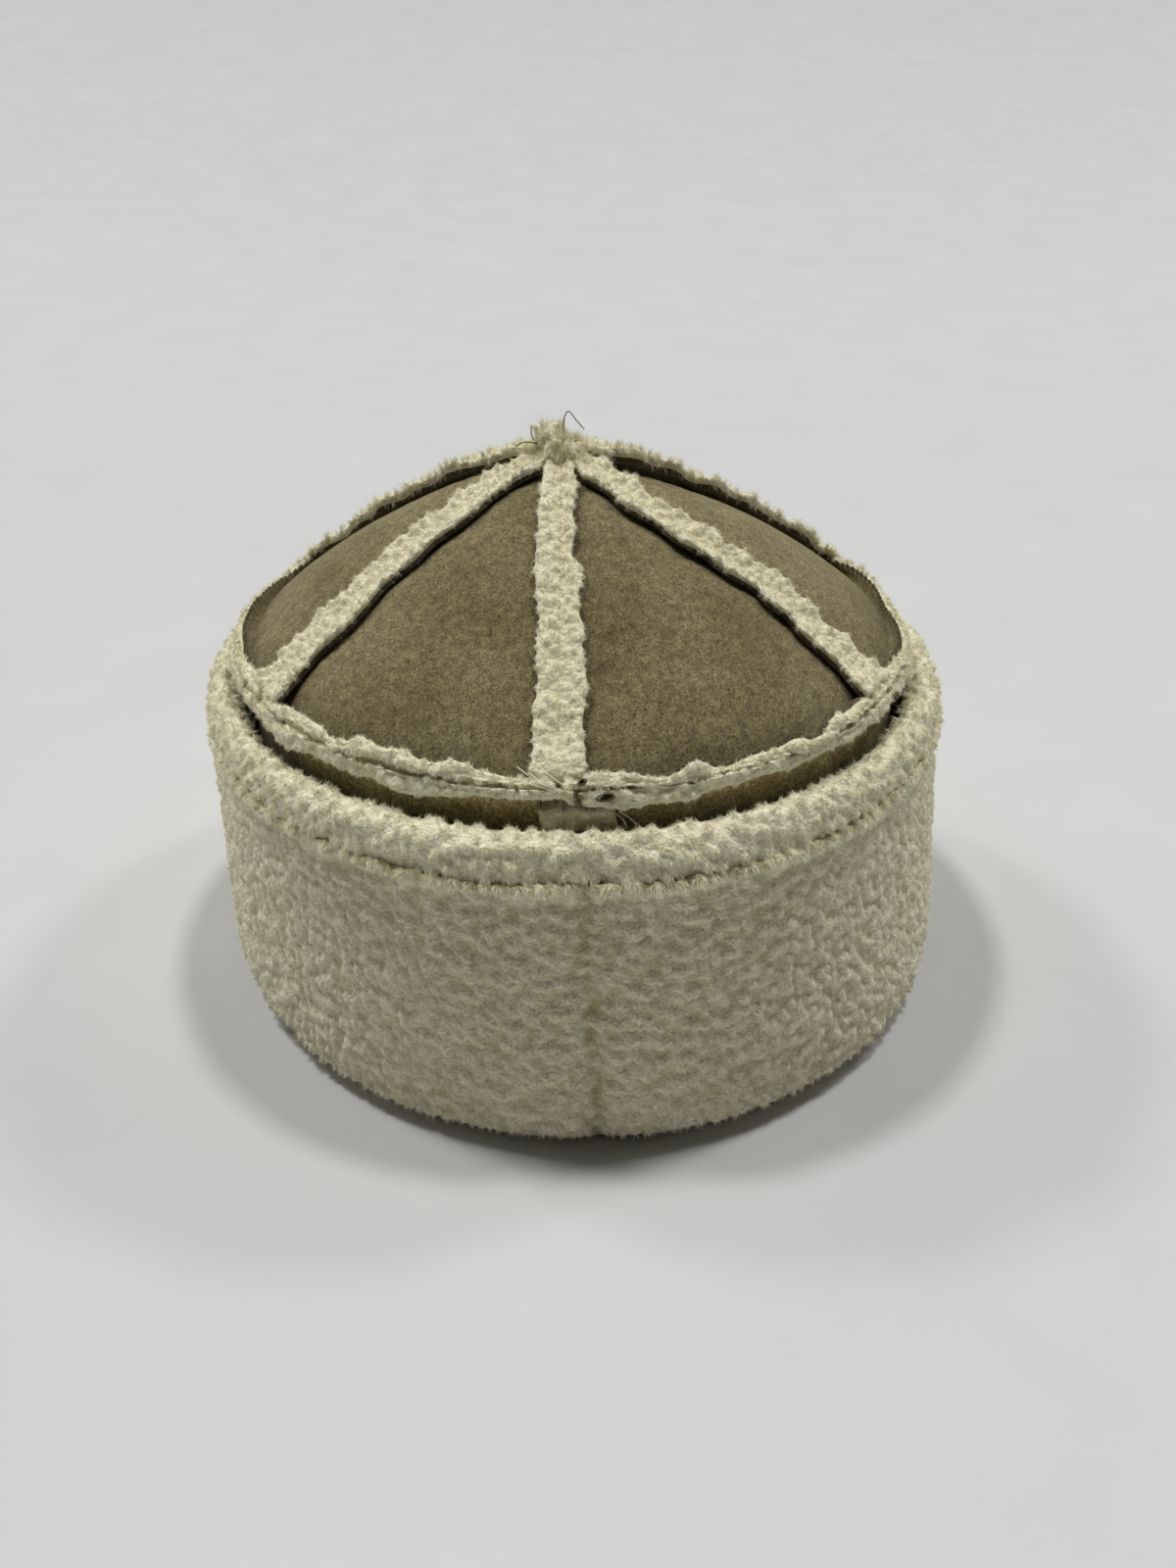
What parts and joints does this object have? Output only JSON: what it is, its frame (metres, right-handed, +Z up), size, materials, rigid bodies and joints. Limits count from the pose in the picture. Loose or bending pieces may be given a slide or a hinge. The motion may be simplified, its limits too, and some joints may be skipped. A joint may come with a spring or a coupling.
{
  "type": "sheepskin hat",
  "caption": "Round sheepskin hat with a domed suede crown of gores, wool-faced turned-out seams, a side band and a thick turned-up shearling cuff.",
  "frame": {"origin": "on the resting plane, at the middle of the cuff's fold", "axes": "+Z up through the crown, -Y towards the front seams, +X to the wearer's left"},
  "size_m": [0.2235, 0.2231, 0.1579],
  "materials": {
    "suede": "napped suede, taupe brown",
    "wool": "cream sheared wool pile"
  },
  "bodies": {
    "root": {"crown_gore_1": "suede", "crown_gore_2": "suede", "crown_gore_3": "suede", "crown_gore_4": "suede", "crown_gore_5": "suede", "crown_gore_6": "suede", "side_band": "suede", "cuff": "wool"}
  },
  "joints": []
}
